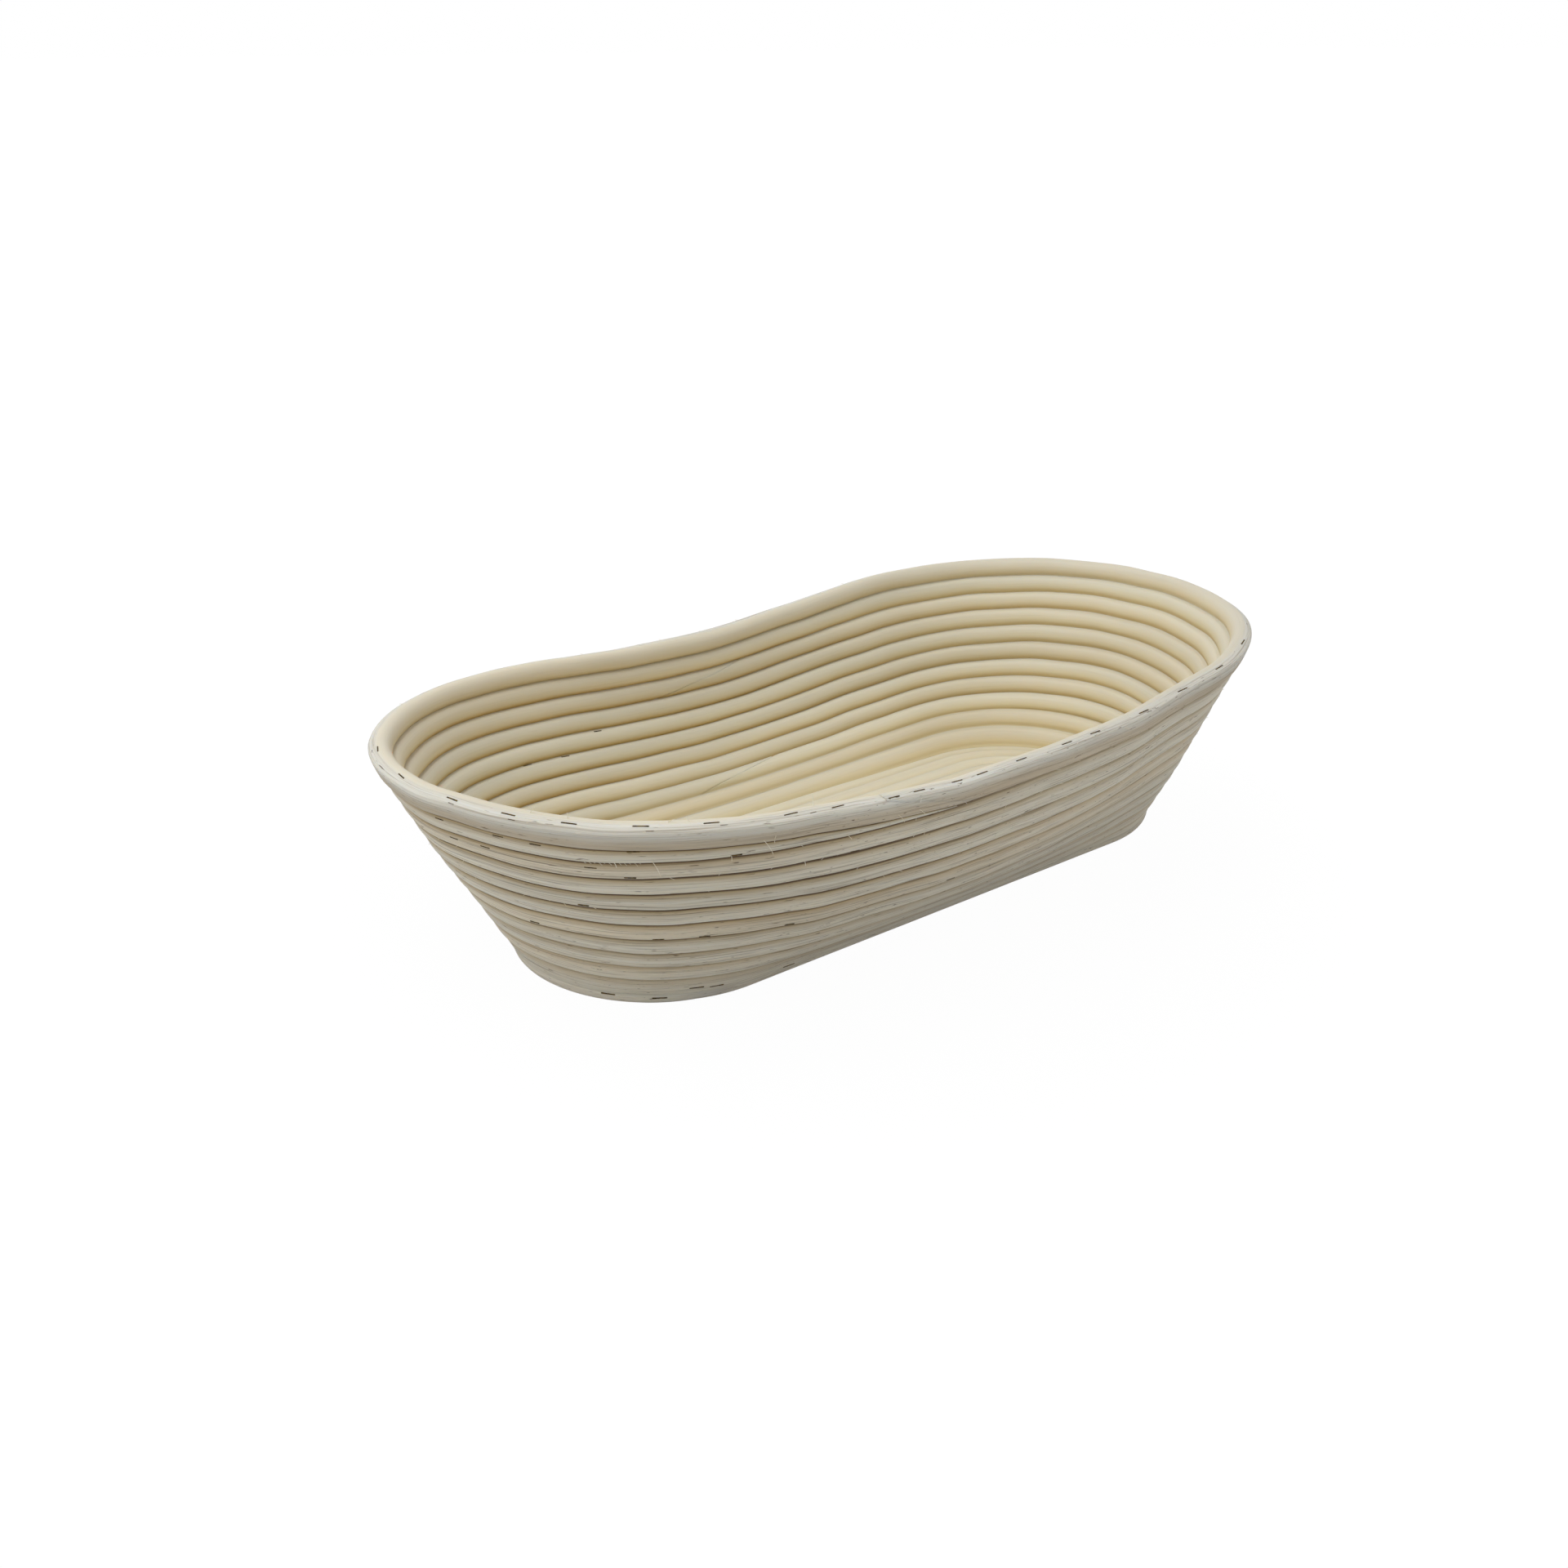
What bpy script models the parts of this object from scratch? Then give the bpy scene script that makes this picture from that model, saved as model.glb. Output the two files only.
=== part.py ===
"""An oval proofing basket wound from rattan cane.

The floor is a flat spiral of cane that ends in the bottom ring. The wall is a second
spiral that stands on the ring and leans outwards, and a thicker rim cane closes the top.
Each length of cane is one tube with an eight-sided section, swept along its turns.

Sizes are in millimetres and angles in degrees. +X runs along the basket, -Y is its
front side and +Z is up, with the underside at Z = 0.
"""
import math

import bmesh
import bpy
from mathutils import Vector
from mathutils.kdtree import KDTree

MM = 0.001
ROUNDING = 0.001

# Canes
CANE = 6.9
RIM_CANE = 7.5
TURN_GAP = 0.6
RIM_GAP = 0.5
UNDERSIDE_CUT = 0.7
TIP = 0.5

# Windings: the floor is counted from its innermost loop out to the bottom ring
FLOOR_TURNS = 6
WALL_TURNS = 10
HALF_STRAIGHT = 89.0
CORNER_STEP = 0.25

# Mean lean of the wall from upright, and how far the lean turns from there to foot and rim
LEAN = 29.2
LEAN_MORE_AT_SIDES = 4.0
LEAN_MORE_AT_BACK = 5.0
LEAN_MORE_AT_LEFT = 1.6
LEAN_LESS_AT_CORNERS = 0.5
BEND = 9.2
BEND_MORE_AT_SIDES = 17.8
BEND_MORE_AT_BACK = 4.5
BEND_MORE_AT_LEFT = 5.7
BEND_LESS_AT_CORNERS = 3.3

# Each wall turn climbs to the next level at the right of the front side. The last turn
# thins out along the left of it, so that between the two the front is one turn lower.
CLIMB_START = 55.0
CLIMB_LENGTH = 70.0
THINNING_LENGTH = 126.0
LOW_FRONT = 84.0

# Slanted splices, as turns from the start of each winding
SPLICE_LENGTH = 45.0
WALL_SPLICES = (2.39, 5.8, 8.39)
FLOOR_SPLICE = 3.9
RIM_SPLICE = 0.82

# Fineness of the sweep
CLIMB_STEPS = 5
SPLICE_STEPS = 4
CAP_STEPS = 11
SIDE_STEPS = 4
INNER_CAP_STEPS = 8
INNER_TURNS = 3

# Finishes: colour and roughness
CANE_FINISH = ((0.76, 0.67, 0.48, 1.0), 0.6)
RIM_FINISH = ((0.83, 0.78, 0.67, 1.0), 0.65)

UP = Vector((0, 0, 1))
PITCH = CANE + TURN_GAP
RING_LEVEL = FLOOR_TURNS + 0.5
RING_RADIUS = RING_LEVEL * PITCH
RING_HEIGHT = CANE / 2 - UNDERSIDE_CUT
CAP_LENGTH = math.pi * RING_RADIUS
RING_LENGTH = 4 * HALF_STRAIGHT + 2 * CAP_LENGTH
RIM_STEP = (RIM_CANE - TURN_GAP) / 2 + RIM_GAP
RIM_DISTANCE = CORNER_STEP + (WALL_TURNS + 0.5) * PITCH + RIM_STEP
LAST_TIP = RING_LENGTH - LOW_FRONT - THINNING_LENGTH * (TIP + TURN_GAP) / PITCH


def clear_scene():
    """Remove every object of the start-up scene."""
    for item in list(bpy.data.objects):
        bpy.data.objects.remove(item, do_unlink=True)


def material(name, colour, roughness):
    """A plain material for one kind of piece."""
    made = bpy.data.materials.new(name)
    made.use_nodes = True
    shader = made.node_tree.nodes["Principled BSDF"]
    shader.inputs["Base Color"].default_value = colour
    shader.inputs["Roughness"].default_value = roughness
    shader.inputs["Metallic"].default_value = 0.0
    return made


def smooth_step(share):
    """Rise from 0 to 1 with level ends."""
    return share * share * (3 - 2 * share)


def spread(start, end, steps):
    """Evenly spaced values from start up to, but without, end."""
    return [start + (end - start) * i / steps for i in range(steps)]


def ring_frame(arc):
    """Point of the bottom ring's centre line, and the outward direction there.

    arc runs counterclockwise, seen from above, from the middle of the front side.
    """
    arc %= RING_LENGTH
    for end, turned in ((1, -math.pi / 2), (-1, math.pi / 2)):
        if arc < HALF_STRAIGHT:
            return Vector((end * arc, -end * RING_RADIUS, 0)), Vector((0, -end, 0))
        arc -= HALF_STRAIGHT
        if arc < CAP_LENGTH:
            angle = turned + arc / RING_RADIUS
            out = Vector((math.cos(angle), math.sin(angle), 0))
            return Vector((end * HALF_STRAIGHT, 0, 0)) + RING_RADIUS * out, out
        arc -= CAP_LENGTH
        if arc < HALF_STRAIGHT:
            return Vector((end * (HALF_STRAIGHT - arc), end * RING_RADIUS, 0)), Vector((0, end, 0))
        arc -= HALF_STRAIGHT
    return Vector((0, -RING_RADIUS, 0)), Vector((0, -1, 0))


def lean_and_bend(foot):
    """The wall's mean lean over a point of the bottom ring, and its bend, in radians."""
    way = math.atan2(foot.y / RING_RADIUS, foot.x / (HALF_STRAIGHT + RING_RADIUS))
    lean = LEAN - LEAN_MORE_AT_SIDES * math.cos(2 * way) + LEAN_LESS_AT_CORNERS * math.cos(4 * way)
    lean += LEAN_MORE_AT_BACK * math.sin(way) - LEAN_MORE_AT_LEFT * math.cos(way)
    bend = BEND - BEND_MORE_AT_SIDES * math.cos(2 * way) + BEND_LESS_AT_CORNERS * math.cos(4 * way)
    bend += BEND_MORE_AT_BACK * math.sin(way) - BEND_MORE_AT_LEFT * math.cos(way)
    return math.radians(lean), math.radians(bend)


def wall_frame(distance, arc):
    """Centre, up-the-wall direction and outward direction at a distance up the wall.

    The wall's line is an arc of a circle, so the straight way to the centre is its chord.
    """
    foot, out = ring_frame(arc)
    lean, half_bend = lean_and_bend(foot)
    start = lean + half_bend
    bend = 2 * half_bend * distance / RIM_DISTANCE
    middle = start - bend / 2
    end = start - bend
    chord = distance * (1 - bend * bend / 24)
    centre = foot + UP * RING_HEIGHT + chord * (out * math.sin(middle) + UP * math.cos(middle))
    along = out * math.sin(end) + UP * math.cos(end)
    across = out * math.cos(end) - UP * math.sin(end)
    return centre, along, across


def floor_frame(level, arc):
    """Centre, outward and upward direction of a floor cane at a level inside the ring."""
    foot, out = ring_frame(arc)
    return foot + UP * RING_HEIGHT - out * (RING_LEVEL - level) * PITCH, out, UP


def climbed(way):
    """Share of a pitch that a turn has climbed at a way along it."""
    return smooth_step(min(way / CLIMB_LENGTH, 1.0))


def thinned(way):
    """Share of its thickness that the last wall turn has lost at a way along it."""
    start = RING_LENGTH - LOW_FRONT - THINNING_LENGTH
    return min(max((way - start) / THINNING_LENGTH, 0.0), 1.0)


def section(frame, thick, width, cut=0.0):
    """Eight corners of a cane, flat towards its neighbours; cut trims the low side."""
    centre, along, across = frame
    edge = math.tan(math.pi / 8)
    corners = (
        (1, edge), (edge, 1), (-edge, 1), (-1, edge),
        (-1, -edge), (-edge, -1), (edge, -1), (1, -edge),
    )
    lowest = cut - width / 2
    return [centre + along * a * thick / 2 + across * max(b * width / 2, lowest) for a, b in corners]


def tube(name, rings, finish):
    """One closed tube through a list of sections, as a named object."""
    mesh = bmesh.new()
    loops = [[mesh.verts.new(point * MM) for point in ring] for ring in rings]
    sides = len(loops[0])
    for first, second in zip(loops, loops[1:]):
        for i in range(sides):
            j = (i + 1) % sides
            mesh.faces.new((first[i], first[j], second[j], second[i]))
    mesh.faces.new(loops[0])
    mesh.faces.new(loops[-1])
    bmesh.ops.recalc_face_normals(mesh, faces=mesh.faces)
    data = bpy.data.meshes.new(name)
    mesh.to_mesh(data)
    mesh.free()
    data.shade_smooth()
    data.set_sharp_from_angle(angle=math.radians(60))
    data.materials.append(finish)
    made = bpy.data.objects.new(name, data)
    bpy.context.collection.objects.link(made)
    return made


def least_gap(rings, steps):
    """Least distance between points of one tube that lie more than some steps apart."""
    tree = KDTree(sum(len(ring) for ring in rings))
    for i, ring in enumerate(rings):
        for point in ring:
            tree.insert(point, i)
    tree.balance()
    least = math.inf
    for i, ring in enumerate(rings):
        for point in ring:
            gaps = [gap for _, j, gap in tree.find_range(point, CANE) if abs(i - j) > steps]
            least = min([least, *gaps])
    return least


def turn_ways(start, cap_steps, side_steps, climb_steps=0):
    """Stations of one turn from start on, as ways along it, with a climb first if it has one."""
    corners = [HALF_STRAIGHT, CAP_LENGTH + HALF_STRAIGHT]
    corners += [CAP_LENGTH + 3 * HALF_STRAIGHT, 2 * CAP_LENGTH + 3 * HALF_STRAIGHT]
    ways = [i * CLIMB_LENGTH / climb_steps for i in range(climb_steps)]
    sides = [(corners[0], corners[1], cap_steps), (corners[1], corners[2], side_steps),
             (corners[2], corners[3], cap_steps), (corners[3], corners[0] + RING_LENGTH, side_steps)]
    arcs = [arc for first, last, steps in sides for arc in spread(first, last, steps)]
    clear = CLIMB_LENGTH if climb_steps else 0.0
    ways += [way for way in ((arc - start) % RING_LENGTH for arc in arcs) if way >= clear]
    return sorted(ways)


def splice_ways(tip):
    """Stations over a splice whose wedges both end a tip's length short of it."""
    open_part = [tip + (SPLICE_LENGTH - 2 * tip) * i / SPLICE_STEPS for i in range(SPLICE_STEPS + 1)]
    return [0.0, *open_part, SPLICE_LENGTH]


def spliced_runs(ways, splices, end):
    """Split the stations of a winding into one run for each length of cane.

    Each run is (ways, start, end): neighbours overlap by one splice, and the outer ends
    of the winding, which have none, are None.
    """
    over = splice_ways(SPLICE_LENGTH * (TIP + TURN_GAP) / PITCH)
    starts = [None, *splices]
    ends = [*splices, None]
    runs = []
    for first, last in zip(starts, ends):
        run = [] if first is None else [first + way for way in over[1:]]
        clear = run[-1] if run else 0.0
        run += [way for way in ways if clear < way < (end if last is None else last)]
        run += [end] if last is None else [last + way for way in over[:-1]]
        runs.append((run, first, last))
    return runs


def wedge(way, start, end):
    """Share of the cane's thickness where it begins and where it ends, near a splice."""
    low, high = 0.0, 1.0
    if start is not None:
        low = max(1 - (way - start) / SPLICE_LENGTH, 0.0)
    if end is not None:
        high = min(1 - (way - end) / SPLICE_LENGTH, 1.0)
    return low, high


def wind(name, finish, runs, edges, ring_at):
    """Make each run of a winding as a tube, leaving out what is thinner than a tip."""
    for number, (ways, start, end) in enumerate(runs):
        rings = []
        for way in ways:
            low, high = edges(way)
            first, last = wedge(way, start, end)
            inner, outer = low + (high - low) * first, low + (high - low) * last
            thick = (outer - inner) * PITCH - TURN_GAP
            if thick > TIP - ROUNDING:
                rings.append(ring_at((inner + outer) / 2, thick, way))
        label = f"{name}_{number + 1}"
        tube(label, rings, finish)
        print(label, "least gap to itself", round(least_gap(rings, INNER_CAP_STEPS), 2), "mm")


def floor_canes(finish):
    """The floor: loops of cane that step out by one pitch round the left end."""
    start = 3 * HALF_STRAIGHT + CAP_LENGTH

    def edges(way):
        turn = min(int(way // RING_LENGTH), FLOOR_TURNS + 1)
        level = turn - 0.5 + smooth_step(min((way - turn * RING_LENGTH) / CAP_LENGTH, 1.0))
        return level - 0.5, min(level + 0.5, RING_LEVEL + 0.5)

    def ring_at(level, thick, way):
        shaved = way > last_climb
        width = math.sqrt(thick * CANE) if shaved else CANE
        return section(floor_frame(level, start + way), thick, width, UNDERSIDE_CUT - (CANE - width) / 2)

    first = CAP_LENGTH
    last_climb = (FLOOR_TURNS + 1) * RING_LENGTH
    end = last_climb + CAP_LENGTH
    ways = []
    for turn in range(FLOOR_TURNS + 2):
        steps = INNER_CAP_STEPS if turn < INNER_TURNS else CAP_STEPS
        ways += [turn * RING_LENGTH + way for way in turn_ways(start, steps, 1)]
    ways = [way for way in ways if first - ROUNDING < way < end - ROUNDING]
    runs = spliced_runs(ways, [FLOOR_SPLICE * RING_LENGTH], end)
    wind("floor_cane", finish, runs, edges, ring_at)


def wall_canes(finish):
    """The wall: level turns that each climb by one pitch; the last one thins out."""
    last = WALL_TURNS - 1

    def edges(way):
        turn = min(int(way // RING_LENGTH), last)
        rest = way - turn * RING_LENGTH
        level = turn + climbed(rest)
        return max(level - 0.5, 0.5), level + 0.5 - (thinned(rest) if turn == last else 0.0)

    def ring_at(level, thick, way):
        return section(wall_frame(CORNER_STEP + level * PITCH, CLIMB_START + way), thick, CANE)

    turn = turn_ways(CLIMB_START, CAP_STEPS, SIDE_STEPS, CLIMB_STEPS)
    ways = [number * RING_LENGTH + way for number in range(WALL_TURNS) for way in turn]
    splices = [turns * RING_LENGTH for turns in WALL_SPLICES]
    runs = spliced_runs(ways, splices, last * RING_LENGTH + LAST_TIP)
    wind("wall_cane", finish, runs, edges, ring_at)


def rim_cane(finish):
    """The rim: one turn of thicker cane on the wall, its ends overlapping in a slanted splice."""
    before = RIM_SPLICE * RING_LENGTH
    start = CLIMB_START + before
    height = RIM_CANE + RIM_GAP
    over = splice_ways(SPLICE_LENGTH * (TIP + RIM_GAP) / height)
    turn = [*turn_ways(CLIMB_START, CAP_STEPS, SIDE_STEPS, CLIMB_STEPS), LAST_TIP]
    ways = over[1:]
    ways += sorted(way for way in ((way - before) % RING_LENGTH for way in turn) if way > SPLICE_LENGTH)
    ways += [RING_LENGTH + way for way in over[:-1]]
    rings = []
    for way in ways:
        low, high = wedge(way, 0.0, RING_LENGTH)
        thick = (high - low) * height - RIM_GAP
        turned = (before + way) % RING_LENGTH
        lowered = 1 - climbed(turned) + thinned(turned)
        middle = RIM_DISTANCE - lowered * PITCH + (low + high - 1) / 2 * height
        rings.append(section(wall_frame(middle, start + way), thick, RIM_CANE))
    tube("rim_cane", rings, finish)
    print("rim_cane least gap to itself", round(least_gap(rings, len(rings) // 2), 2), "mm")


def centre_over_origin():
    """Hang all pieces on an empty that puts the middle of their outline at X = Y = 0."""
    pieces = [item for item in bpy.data.objects if item.type == "MESH"]
    corners = [Vector(corner) for piece in pieces for corner in piece.bound_box]
    basket = bpy.data.objects.new("basket", None)
    basket.location.x = -(min(c.x for c in corners) + max(c.x for c in corners)) / 2
    basket.location.y = -(min(c.y for c in corners) + max(c.y for c in corners)) / 2
    bpy.context.collection.objects.link(basket)
    for piece in pieces:
        piece.parent = basket


def build():
    """Make every piece."""
    clear_scene()
    cane = material("cane", *CANE_FINISH)
    rim = material("rim", *RIM_FINISH)
    floor_canes(cane)
    wall_canes(cane)
    rim_cane(rim)
    centre_over_origin()


build()
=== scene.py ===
# %% [markdown]
# # An oval proofing basket wound from rattan
# The basket is a coil of round cane: a flat spiral makes the floor, a second spiral makes
# the leaning wall, and a thicker cane closes the rim. Wire staples pin the turns together.
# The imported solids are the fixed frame. They are plain eight-sided tubes, so each one is
# replaced here by a finer cane that follows the same winding.

# %% Load the frame
import math

import bpy
import bmesh
import numpy as np
from mathutils import Matrix, Vector


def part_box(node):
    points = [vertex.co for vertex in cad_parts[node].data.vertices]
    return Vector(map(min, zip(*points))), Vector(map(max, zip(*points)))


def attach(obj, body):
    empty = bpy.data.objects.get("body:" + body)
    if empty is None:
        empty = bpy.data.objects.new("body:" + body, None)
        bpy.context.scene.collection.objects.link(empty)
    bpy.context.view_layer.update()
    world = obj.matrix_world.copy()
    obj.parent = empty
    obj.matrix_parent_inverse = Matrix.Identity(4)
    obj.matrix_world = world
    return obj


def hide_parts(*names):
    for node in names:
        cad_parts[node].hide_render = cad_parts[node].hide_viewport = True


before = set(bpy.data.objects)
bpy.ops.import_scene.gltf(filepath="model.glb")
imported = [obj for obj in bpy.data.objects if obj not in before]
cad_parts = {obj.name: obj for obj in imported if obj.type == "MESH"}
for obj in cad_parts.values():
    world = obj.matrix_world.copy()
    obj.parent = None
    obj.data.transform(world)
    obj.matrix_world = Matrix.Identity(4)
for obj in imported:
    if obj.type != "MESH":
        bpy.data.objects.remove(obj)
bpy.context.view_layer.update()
MM = 0.001

# %% [markdown]
# ## The winding
# A winding is a rule, so a formula gives every point of it. The bottom ring is a stadium:
# two straight sides joined by two half circles. The wall starts on the ring and leans
# outwards, more at the long sides than at the ends, which is why the ends of the rim stand
# higher. These are the sizes that the solids were made with, in millimetres and degrees. Only
# STEEPER is added here: at two places the front's rows run straighter than in the solids. It
# gives a point of the ring, the change's width, and the lean and bend that it takes away.

# %% Sizes of the winding
CANE = 6.9
RIM_CANE = 7.5
PITCH = 7.5
RIM_STEP = 3.95
UNDERSIDE_CUT = 0.7
FLOOR_TURNS = 6
WALL_TURNS = 10
HALF_STRAIGHT = 89.0
CORNER_STEP = 0.25
LEAN = 29.2
LEAN_MORE_AT_SIDES = 4.0
LEAN_MORE_AT_BACK = 5.0
LEAN_MORE_AT_LEFT = 1.6
LEAN_LESS_AT_CORNERS = 0.5
BEND = 9.2
BEND_MORE_AT_SIDES = 17.8
BEND_MORE_AT_BACK = 4.5
BEND_MORE_AT_LEFT = 5.7
BEND_LESS_AT_CORNERS = 3.3
CLIMB_START = 55.0
CLIMB_LENGTH = 70.0
THINNING_LENGTH = 126.0
LOW_FRONT = 84.0
SPLICE_LENGTH = 45.0
WALL_SPLICES = (2.39, 5.8, 8.39)
FLOOR_SPLICE = 3.9
RIM_SPLICE = 0.82
STEEPER = (
    (-105.6, -45.8, 20.0, 1.2, 5.0),
    (-8.0, -48.75, 42.0, 0.7, 3.0),
)

RING_LEVEL = FLOOR_TURNS + 0.5
RING_RADIUS = RING_LEVEL * PITCH
RING_HEIGHT = CANE / 2 - UNDERSIDE_CUT
CAP_LENGTH = math.pi * RING_RADIUS
RING_LENGTH = 4 * HALF_STRAIGHT + 2 * CAP_LENGTH
RIM_DISTANCE = CORNER_STEP + (WALL_TURNS + 0.5) * PITCH + RIM_STEP
UP = Vector((0, 0, 1))
ring_low, ring_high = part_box("floor_cane_2")
BASE = (ring_low + ring_high) / 2 / MM
BASE.z = 0
print("ring length", round(RING_LENGTH, 1), "base centre", [round(v, 2) for v in BASE])


# %% Points of the ring, the wall and the floor
def ring_frame(arc):
    """Point of the bottom ring's centre line, and the outward direction there."""
    half, arc = divmod(arc, RING_LENGTH / 2)
    end = -1 if half % 2 else 1
    over = arc - HALF_STRAIGHT
    angle = min(max(over, 0.0), CAP_LENGTH) / RING_RADIUS - math.pi / 2
    out = Vector((end * math.cos(angle), end * math.sin(angle), 0))
    along = HALF_STRAIGHT - max(-over, over - CAP_LENGTH, 0.0)
    return Vector((end * along, 0, 0)) + RING_RADIUS * out, out


def lean_and_bend(foot):
    """The wall's mean lean over a point of the bottom ring, and its bend, in radians."""
    way = math.atan2(foot.y / RING_RADIUS, foot.x / (HALF_STRAIGHT + RING_RADIUS))
    lean = LEAN - LEAN_MORE_AT_SIDES * math.cos(2 * way) + LEAN_LESS_AT_CORNERS * math.cos(4 * way)
    lean += LEAN_MORE_AT_BACK * math.sin(way) - LEAN_MORE_AT_LEFT * math.cos(way)
    bend = BEND - BEND_MORE_AT_SIDES * math.cos(2 * way) + BEND_LESS_AT_CORNERS * math.cos(4 * way)
    bend += BEND_MORE_AT_BACK * math.sin(way) - BEND_MORE_AT_LEFT * math.cos(way)
    for x, y, width, less_lean, less_bend in STEEPER:
        near = math.exp(-((foot.x - x) ** 2 + (foot.y - y) ** 2) / width ** 2)
        lean -= less_lean * near
        bend -= less_bend * near
    return math.radians(lean), math.radians(bend)


def wall_frame(distance, arc):
    """Centre, up-the-wall direction and outward direction at a distance up the wall."""
    foot, out = ring_frame(arc)
    lean, half_bend = lean_and_bend(foot)
    start = lean + half_bend
    bend = 2 * half_bend * distance / RIM_DISTANCE
    middle = start - bend / 2
    end = start - bend
    chord = distance * (1 - bend * bend / 24)
    centre = foot + UP * RING_HEIGHT + chord * (out * math.sin(middle) + UP * math.cos(middle))
    rise = out * math.sin(end) + UP * math.cos(end)
    return BASE + centre, rise, out * math.cos(end) - UP * math.sin(end)


def floor_frame(level, arc):
    """Centre, outward and downward direction of a floor cane at a level inside the ring."""
    foot, out = ring_frame(arc)
    return BASE + foot + UP * RING_HEIGHT - out * (RING_LEVEL - level) * PITCH, out, -UP


rim_front = wall_frame(RIM_DISTANCE, 0)[0]
rim_end = wall_frame(RIM_DISTANCE, HALF_STRAIGHT + CAP_LENGTH / 2)[0]
print("rim height at the front", round(rim_front.z, 1), "and at the end", round(rim_end.z, 1))

# %% [markdown]
# ## Rails
# A rail is the centre line of one length of cane: a chain of points that carry, as named
# attributes, the two directions of the section, its thickness and the distance run so far.
# Where two lengths meet, both are planed to a long wedge, so the thickness runs out there.

# %% Steps along a rail
STEP = 2.2
TIP = 0.04
SEAM = 0.004
SUNK = 0.25


def smooth_step(share):
    """Rise from 0 to 1 with level ends."""
    share = min(max(share, 0.0), 1.0)
    return share * share * (3 - 2 * share)


def wedge(way, start, end):
    """Share of the cane's thickness where it begins and where it ends, near a splice."""
    low = 0.0 if start is None else max(1 - (way - start) / SPLICE_LENGTH, 0.0)
    high = 1.0 if end is None else min(1 - (way - end) / SPLICE_LENGTH, 1.0)
    return low, high


def rail(first, last, splices, edges, frame_at, shaved=lambda way: 0.0):
    """Stations of one cane from way to way, without thin tips.

    A station is a frame, the cane's thickness, the way, and the shares of the thickness
    between which a splice leaves the cane standing.
    """
    steps = round((last - first) / STEP)
    stations = []
    for i in range(steps + 1):
        way = first + (last - first) * i / steps
        low, high = edges(way)
        cut_low, cut_high = wedge(way, *splices)
        cut_low = max(cut_low, shaved(way))
        thick = (high - low) * PITCH
        if thick * (cut_high - cut_low) > TIP:
            stations.append((*frame_at((low + high) / 2, way), thick, way, cut_low, cut_high))
    return stations


def runs(first, last, splices):
    """Each length of a spliced winding: its two ends, and the splices that it has there."""
    starts = [None, *splices]
    ends = [*splices, None]
    for start, end in zip(starts, ends):
        begin = first if start is None else start
        finish = last if end is None else end + SPLICE_LENGTH
        yield begin, finish, (start, end)


print("stations stand", STEP, "mm apart")


# %% Levels of the floor's and the wall's turns
def climbed(way):
    """Share of a pitch that a turn has climbed at a way along it."""
    return smooth_step(way / CLIMB_LENGTH)


def thinned(way):
    """Share of its thickness that the last wall turn has lost at a way along it."""
    start = RING_LENGTH - LOW_FRONT - THINNING_LENGTH
    return min(max((way - start) / THINNING_LENGTH, 0.0), 1.0)


def floor_edges(way):
    """Inner and outer level of the floor's cane, which steps out round the left end."""
    turn = min(int(way // RING_LENGTH), FLOOR_TURNS)
    level = turn - 0.5 + smooth_step((way - turn * RING_LENGTH) / CAP_LENGTH)
    return level - 0.5, level + 0.5


def ring_shaved(way):
    """Share of the bottom ring that is planed off its inside, where the next loop comes out."""
    return smooth_step((way - (FLOOR_TURNS + 1) * RING_LENGTH) / CAP_LENGTH)


def wall_edges(way):
    """Lower and upper level of the wall's cane; its last turn thins out.

    The first turn is sunk a little into the bottom ring, so that no gap shows between them.
    """
    turn = min(int(way // RING_LENGTH), WALL_TURNS - 1)
    rest = way - turn * RING_LENGTH
    level = turn + climbed(rest)
    low = max(level - 0.5, 0.5) - (0.0 if turn else SUNK)
    return low, level + 0.5 - (thinned(rest) if turn == WALL_TURNS - 1 else 0.0)


def floor_at(level, way):
    """Frame of the floor's cane; its way starts where the left end begins."""
    return floor_frame(level, 3 * HALF_STRAIGHT + CAP_LENGTH + way)


def wall_at(level, way):
    """Frame of the wall's cane; its way starts where the turns climb."""
    return wall_frame(CORNER_STEP + level * PITCH, CLIMB_START + way)


print("wall levels after half a turn", wall_edges(RING_LENGTH / 2))

# %% Rails of the floor and the wall
EYE_SHARES = (0.99, 0.96, 0.9, 0.8, 0.65, 0.45, 0.25)
EYE_SAMPLES = 200


def eye_tip(start):
    """Stations of the floor's inner end, shaped to close the eye that the first loop leaves."""
    centre, across, down, _, way, low, high = start
    turned = np.linspace(0.0, 1.0, EYE_SAMPLES)
    reach = PITCH * turned * turned * (3 - 2 * turned)
    depth = reach * np.sin(math.pi * turned)
    side = reach * np.cos(math.pi * turned)
    peak = int(depth.argmax())
    stations = []
    for share in EYE_SHARES:
        far = share * float(depth[peak])
        upper = float(np.interp(far, depth[:peak + 1], side[:peak + 1]))
        lower = float(np.interp(far, depth[:peak - 1:-1], side[:peak - 1:-1]))
        shift = Vector((-far, (upper + lower + PITCH) / 2, 0))
        stations.append((centre + shift, across, down, upper - lower, way - far, low, high))
    return stations


floor_end = (FLOOR_TURNS + 1) * RING_LENGTH + CAP_LENGTH
wall_end = WALL_TURNS * RING_LENGTH - LOW_FRONT
wall_splices = [turns * RING_LENGTH for turns in WALL_SPLICES]
floor_runs = runs(CAP_LENGTH, floor_end, [FLOOR_SPLICE * RING_LENGTH])
floor_rails = [rail(*run, floor_edges, floor_at, ring_shaved) for run in floor_runs]
floor_rails[0] = eye_tip(floor_rails[0][0]) + floor_rails[0]
wall_rails = [rail(*run, wall_edges, wall_at) for run in runs(0.0, wall_end, wall_splices)]
print("stations", [len(stations) for stations in floor_rails + wall_rails])


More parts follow.
